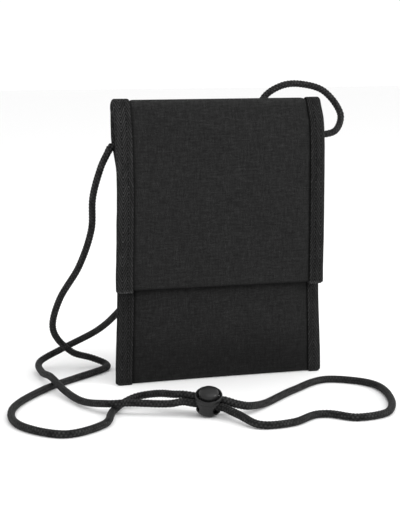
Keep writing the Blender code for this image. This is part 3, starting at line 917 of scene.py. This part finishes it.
def flap_canvas():
    """One strip from the back over the fold to the hem, and up again inside as the flap's inner layer."""
    x = columns_between(FLAP_CANVAS_EDGE, FLAP_TAPE_INNER)
    line, outward, places = flap_profile(FLAP_LOW.z - FLAP_DROP + HEM_TURN)
    rows = []
    for spot, out, place in zip(line, outward, places):
        here = np.full_like(x, place)
        rise = flap_unevenness(x, here) - ramp(place, 3, 11) * pucker(x, here, FLAP_TAPE_INNER, 5.2)
        rows.append(spot + np.outer(rise, out) + np.outer(x, (1, 0, 0)))
    outer = np.array(rows)
    last = outer[-1]
    hem = []
    for angle in np.radians(np.linspace(0, 180, 9))[1:-1]:
        hem.append(last + HEM_TURN * np.array([0, 1 - cos(angle), -sin(angle)]))
    first = int(np.argmax(places > INNER_LAYER_FROM))
    inner = outer[first:][::-1] - 2 * HEM_TURN * outward[first:][::-1][:, None, :]
    points = np.concatenate([outer, np.array(hem), inner])
    along = lengths_along(points[:, points.shape[1] // 2])
    # Painted colour on the flap: lighter over the top fold, partly rubbed wear and partly a painted
    # highlight; painted shade on the hem's rolled edge; and painted shade in the grooves beside the tapes.
    wear_and_painted_light = 0.35 * bell(along, 12.5, 3.2) - 0.80 * bell(along, places[-1] + 1.5, 1.2)
    wear_and_painted_light = wear_and_painted_light[:, None] - seam_shade(x, FLAP_TAPE_INNER)[None, :]
    obj = grid("flap_canvas", settle_flap(points), x, along[:, None] - 200.0, wear_and_painted_light)
    thicken(obj, CANVAS)
    paint(obj, CANVAS_CLOTH)
    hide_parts("flap_panel", "flap_lining")
    bend_with_flap(obj)


def bend_with_flap(obj):
    """Bakes the object's placement into its mesh."""
    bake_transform(obj)


def flap_binding(side, label):
    """The tape folded round one side edge of the flap."""
    radius = HEM_TURN + PLY_GAP + TAPE
    inner_x = FLAP_TAPE_INNER[side]
    section = tape_section(inner_x, FLAP_EDGE, radius)
    line, outward, places = flap_profile(FLAP_TAPE_LOW.z - FLAP_DROP)
    stations = range(len(line))
    edge_centre = FLAP_EDGE - radius

    def place(x, leg, angle, index):
        spot, out = Vector(line[index]), Vector(outward[index])
        wave = 0.10 * noise.noise(Vector((side * 5.0, places[index] / 9.0, leg * 3.0)))
        if leg == 0:
            rise = -HEM_TURN - radius * sin(angle)
            reach = edge_centre + (radius + wave) * cos(angle)
            return tuple(spot + out * rise + Vector((side * reach, 0, 0)))
        lip = float(tape_lip(x, inner_x)) + wave
        rise = -HEM_TURN - leg * (radius + lip)
        return tuple(spot + out * rise + Vector((side * x, 0, 0)))

    place = settled(place, settle_flap)
    name = "flap_tape_" + label
    obj, flat = tape_shape(name, side, section, place, stations, inner_x, 2.1, FLAP_TAPE_PAINTED_LIGHT[side])
    thicken(obj, TAPE, 0.2)
    paint(obj, BINDING_TAPE)
    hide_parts("flap_binding_" + label)
    bend_with_flap(obj)
    runs = []
    x = inner_x + STITCH_INSET
    for leg in (-1, 1):
        path = [place(x, leg, 0.0, index) for index in stations[3:-2]]
        shown = np.array(path)
        facing = outward[3:-2] * -leg

        def out(spot, shown=shown, facing=facing):
            return Vector(facing[int(np.argmin(((shown - np.array(spot)) ** 2).sum(1)))])

        runs.append((path, out))
    bend_with_flap(stitch_rows("flap_stitches_" + label, runs))


def closure(name, node, material, body, facing):
    """One half of the hook and loop closure: a soft-edged strip with a stitched border. It faces -Y or +Y."""
    inset = 1.4
    low, high = edges(node)
    bm = bmesh.new()
    box = Matrix.LocRotScale((low + high) / 2 * MM, None, (high - low) * MM)
    bmesh.ops.create_cube(bm, size=1.0, matrix=box)
    bmesh.ops.subdivide_edges(bm, edges=bm.edges[:], cuts=1, use_grid_fill=True)
    obj = object_from_bmesh(name, bm)
    round_edges(obj, 0.35, 3, 30)
    finish(obj)
    paint(obj, material)
    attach(obj, body)
    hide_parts(node)
    face_y = low.y if facing < 0 else high.y
    left, right = low.x + inset, high.x - inset
    bottom, top = low.z + inset, high.z - inset
    border = [(x, face_y, z) for x, z in ((left, bottom), (right, bottom), (right, top), (left, top))]
    runs = [(pair, Vector((0, facing, 0))) for pair in zip(border, border[1:] + border[:1])]
    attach(stitch_rows(name + "_stitches", runs), body)


# --- cord


def lock_frame():
    """Where the lock lies: local X runs along the cord and local Z along the plunger."""
    along = Vector(joints["lock_slide"]["axis"])
    up = -Vector(joints["button_press"]["axis"])
    matrix = Matrix((along, up.cross(along), up)).transposed().to_4x4()
    return Matrix.Translation(Vector(LOCK_PLACE) * MM) @ matrix


LOCK_FRAME = lock_frame()


def in_lock(x, y, z):
    """A place in the lock's own millimetres, in metres in the row frame."""
    return LOCK_FRAME @ (Vector((x, y, z)) * MM)


def lock_strand(side):
    """One strand's straight run through the lock. The other lies beside it."""
    return [in_lock(along, side * STRAND_SIDE, side * STRAND_RISE) / MM for along in LOCK_RUN]


def cord_line():
    """The cord's centreline in millimetres, and the length along it at each point."""
    seam = Vector((0, SEAM_Y, 0))
    to_lock, loop, from_lock = (
        [Vector(point) + seam for point in route] for route in (ROUTE_TO_LOCK, ROUTE_LOOP, ROUTE_FROM_LOCK)
    )
    route = [*to_lock, *lock_strand(1), *loop, *lock_strand(-1)[::-1], *from_lock]
    line, places = even_line(smooth_curve(route, 16), 0.5)
    line[:, 2] = np.maximum(line[:, 2], CORD_RADIUS)
    return line, places


CORD_LINE, CORD_PLACES = cord_line()


def steady_frames(line):
    """Two directions across the line at each point, carried along it without twist."""
    ahead = np.gradient(line, axis=0)
    ahead /= np.linalg.norm(ahead, axis=1)[:, None]
    first = np.cross(ahead[0], (0.0, 1.0, 0.0))
    sides = [first / np.linalg.norm(first)]
    for direction in ahead[1:]:
        side = sides[-1] - direction * (sides[-1] @ direction)
        sides.append(side / np.linalg.norm(side))
    sides = np.array(sides)
    return sides, np.cross(ahead, sides)


def braid_height(along, spokes):
    """The relief of a round braid at each place and spoke, from 0 in a valley to 1 on a crown."""
    turns = np.arange(spokes)[None, :] / spokes * BRAID_STRANDS
    steps = along[:, None] / BRAID_CELL
    first, second = steps + turns / 2, steps - turns / 2
    part_first, part_second = first % 1, second % 1
    crown_first = np.sin(pi * part_first) * (0.35 + 0.65 * np.sin(pi * part_second))
    crown_second = np.sin(pi * part_second) * (0.35 + 0.65 * np.sin(pi * part_first))
    first_over = (np.floor(first) + np.floor(second)) % 2 < 1
    return np.where(first_over, crown_first, crown_second)


def cord_tube(name, line, places, height, thin, wide):
    """A closed tube of cord along a line. Its two radii are given for each place, or for each spoke there."""
    sides, others = steady_frames(line)
    around = np.arange(height.shape[1])[None, :] / height.shape[1]
    angles = 2 * pi * around
    points = line[:, None] + sides[:, None] * (np.cos(angles) * thin)[..., None]
    points = points + others[:, None] * (np.sin(angles) * wide)[..., None]
    across = around * pi * CORD_DIAMETER
    obj = closed(grid(name, points, across, places[:, None], height, outward_first=False, ring=True))
    obj.data.shade_smooth()
    return paint(obj, CORD_BRAID)


def neck_cord():
    """The braided cord with its strands in relief, a little thicker beside the lock and at the left exit."""
    height = braid_height(CORD_PLACES, 32)
    from_swell = np.linalg.norm(CORD_LINE - np.array(in_lock(*CORD_SWELL_PLACE)) / MM, axis=1)
    from_ends = np.minimum(CORD_PLACES, CORD_PLACES[-1] - CORD_PLACES)
    swell = CORD_SWELL * bell(from_swell, 0, CORD_SWELL_REACH)
    swell = swell + EXIT_SWELL * bell(CORD_PLACES, 0, EXIT_SWELL_REACH)
    radius = CORD_RADIUS + BRAID_RELIEF * (height - BRAID_MIDDLE) + swell[:, None]
    radius = radius * np.sqrt(np.clip(from_ends / 0.5, 0.3, 1))[:, None]
    obj = cord_tube("braided_cord", CORD_LINE, CORD_PLACES, height, radius, radius)
    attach(obj, "pouch")
    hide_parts("neck_cord")
    return obj


def cord_end(side, label):
    """The cord's end, pressed flat and sewn inside the seam, where it meets the free cord."""
    node = "cord_anchor_" + label
    low, high = edges(node)
    centre = (low + high) / 2
    line = CORD_LINE if side < 0 else CORD_LINE[::-1]
    start = Vector((low.x + 1.2 if side > 0 else high.x - 1.2, centre.y, centre.z))
    route = [start, centre, Vector(line[0]), Vector(line[8])]
    path, places = even_line(smooth_curve(route, 12), 0.4)
    path = path[places <= places[-1] - 3.4]
    places = places[: len(path)]
    height = braid_height(places, 24)
    roundness = ramp(places, 0, 6.0)[:, None]
    thin = CORD_RADIUS * (0.62 + 0.36 * roundness)
    wide = CORD_RADIUS * (1.08 - 0.10 * roundness)
    obj = cord_tube("cord_end_" + label, path, places, height, thin, wide)
    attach(obj, "pouch")
    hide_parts(node)


def turned(name, profile):
    """A closed profile of (radius, z) in the lock's own millimetres, turned round the plunger's axis."""
    steps = 96
    verts = []
    rings = []
    for radius, z in profile:
        if radius == 0:
            rings.append([len(verts)] * steps)
            verts.append(in_lock(0, 0, z))
            continue
        rings.append([len(verts) + step for step in range(steps)])
        for step in range(steps):
            angle = 2 * pi * step / steps
            verts.append(in_lock(radius * cos(angle), radius * sin(angle), z))
    faces = []
    for lower, upper in zip(rings, rings[1:]):
        for step in range(steps):
            beside = (step + 1) % steps
            face = [lower[step], lower[beside], upper[beside], upper[step]]
            faces.append(list(dict.fromkeys(face)))
    return closed(object_from(name, verts, faces))


def tunnel(name, near, far):
    """A cutter along the cord between two rounded outlines, each (x, middle z, half height, half width)."""
    verts = []
    for x, middle, half_height, half_width in (near, far):
        for step in range(TUNNEL_STEPS):
            angle = 2 * pi * step / TUNNEL_STEPS
            y, z = (copysign(abs(part) ** 0.75, part) for part in (cos(angle), sin(angle)))
            verts.append(in_lock(x, half_width * y, middle + half_height * z))
    faces = [list(range(TUNNEL_STEPS)), list(range(TUNNEL_STEPS, 2 * TUNNEL_STEPS))]
    for step in range(TUNNEL_STEPS):
        beside = (step + 1) % TUNNEL_STEPS
        faces.append([step, beside, TUNNEL_STEPS + beside, TUNNEL_STEPS + step])
    return closed(object_from(name, verts, faces))


def lock_barrel():
    """The lock's round-bottomed body, with a flared window on each side for the cord."""
    inside = [(0, -6.35), (4.6, -6.35), (5.6, -5.8), (6.2, -4.6), (6.4, -3.2), (6.4, 4.0), (6.6, 4.7)]
    rim = [(6.9, 5.2), (7.1, 5.5), (7.35, 5.62), (7.65, 5.55), (7.9, 5.25), (8.02, 4.8)]
    groove = [(8.05, 4.3), (8.03, 3.6), (7.82, 3.35), (7.82, 3.05), (8.05, 2.75), (BARREL_RADIUS, 1.5)]
    square = 2 / BARREL_SQUARENESS
    bowl = []
    for step in range(28):
        angle = radians(90 * step / 28)
        bowl.append((BARREL_RADIUS * cos(angle) ** square, -BARREL_DEPTH * sin(angle) ** square))
    obj = turned("lock_barrel", inside + rim + groove + bowl + [(0, -BARREL_DEPTH)])
    cutters = [tunnel("window", (-12, -0.3, 3.9, 5.6), (12, -0.3, 3.9, 5.6))]
    for side in (-1, 1):
        cutters.append(tunnel("flare", (side * 3.0, -0.7, 4.0, 6.9), (side * 9.6, -0.9, 4.2, 7.6)))
    cut_away(obj, cutters, edge_round=0.3, sharp=32)
    paint(obj, LOCK_PLASTIC)
    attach(obj, "cord_lock")
    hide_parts("cord_lock_barrel")


def lock_button():
    """The plunger: a dome with a rounded shoulder, on a stem with a slot for the cord."""
    dome = [(0, DOME_FOOT_Z + DOME_HEIGHT)]
    for step in range(1, 18):
        angle = radians(90 * step / 18)
        radius = DOME_RADIUS * sin(angle) ** DOME_FULLNESS
        dome.append((radius, DOME_FOOT_Z + DOME_HEIGHT * cos(angle) ** DOME_FULLNESS))
    shoulder = [(DOME_RADIUS, DOME_FOOT_Z), (DOME_RADIUS, 5.4), (5.7, 5.2), (5.7, 4.4), (6.1, 4.1)]
    foot = [(6.1, -1.4), (5.8, -2.3), (5.3, -3.2), (4.7, -3.9), (0, -3.9)]
    obj = turned("lock_plunger", dome + shoulder + foot)
    slot = tunnel("slot", (-9, 1.1, 4.3, 4.9), (9, 1.1, 4.3, 4.9))
    cut_away(obj, [slot], edge_round=0.25, sharp=32)
    paint(obj, LOCK_PLASTIC)
    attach(obj, "lock_button")
    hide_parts("cord_lock_button")


# --- stage


def camera():
    data = bpy.data.cameras.new("camera")
    data.sensor_width = CAMERA_SENSOR
    data.lens = CAMERA_LENS
    data.clip_start = 0.05
    data.clip_end = 20
    obj = linked("camera", data)
    azimuth = Matrix.Rotation(radians(CAMERA_AZIMUTH), 4, "Z")
    tilt = Matrix.Rotation(radians(90 - CAMERA_TILT), 4, "X")
    roll = Matrix.Rotation(radians(CAMERA_ROLL), 4, "Z")
    obj.matrix_world = Matrix.Translation(Vector(CAMERA_PLACE) * MM) @ azimuth @ tilt @ roll
    bpy.context.scene.camera = obj


def floor():
    """The white sheet that the object lies on, a tenth of a millimetre below it."""
    bm = bmesh.new()
    bmesh.ops.create_grid(bm, x_segments=1, y_segments=1, size=6.0)
    obj = object_from_bmesh("floor", bm)
    obj.location.z = -0.1 * MM
    shader = Shader("white_sweep", 0.9, 0.1)
    shader.principled.inputs["Base Color"].default_value = (0.92, 0.92, 0.92, 1)
    obj.data.materials.append(shader.material)


def softbox(name, place, target, size, power):
    data = bpy.data.lights.new(name, "AREA")
    data.shape = "RECTANGLE"
    data.size, data.size_y = size
    data.energy = power
    obj = linked(name, data)
    obj.location = place
    obj.rotation_euler = (Vector(target) - Vector(place)).to_track_quat("-Z", "Y").to_euler()


def studio():
    """A white surround, a large soft key above the front and a small fill at the front right."""
    world = bpy.data.worlds.new("surround")
    world.use_nodes = True
    background = world.node_tree.nodes["Background"]
    background.inputs["Color"].default_value = (1, 1, 1, 1)
    background.inputs["Strength"].default_value = 1.05
    bpy.context.scene.world = world
    bpy.context.scene.view_settings.view_transform = "Standard"
    softbox("key", (0.2, -1.1, 1.4), (0, 0, 0.08), (1.9, 1.5), 12.7)
    softbox("fill", (1.05, -0.85, 0.66), (0, 0, 0.05), (0.26, 0.30), 7.0)


camera()
cord = neck_cord()
for side, label in SIDES:
    cord_end(side, label)
lock_barrel()
lock_button()
coat(frame["nodes"]["cord_lock_spring"], STEEL)
[tuple(point) for point in CORD_LINE[::4] * MM]
slip_pocket()
body_canvas()
flap_canvas()
for side, label in SIDES:
    body_binding(side, label)
    flap_binding(side, label)
closure("hook_strip", "hook_tape", HOOK_PILE, "flap", 1)
closure("loop_strip", "loop_tape", LOOP_PILE, "pouch", -1)
floor()
studio()
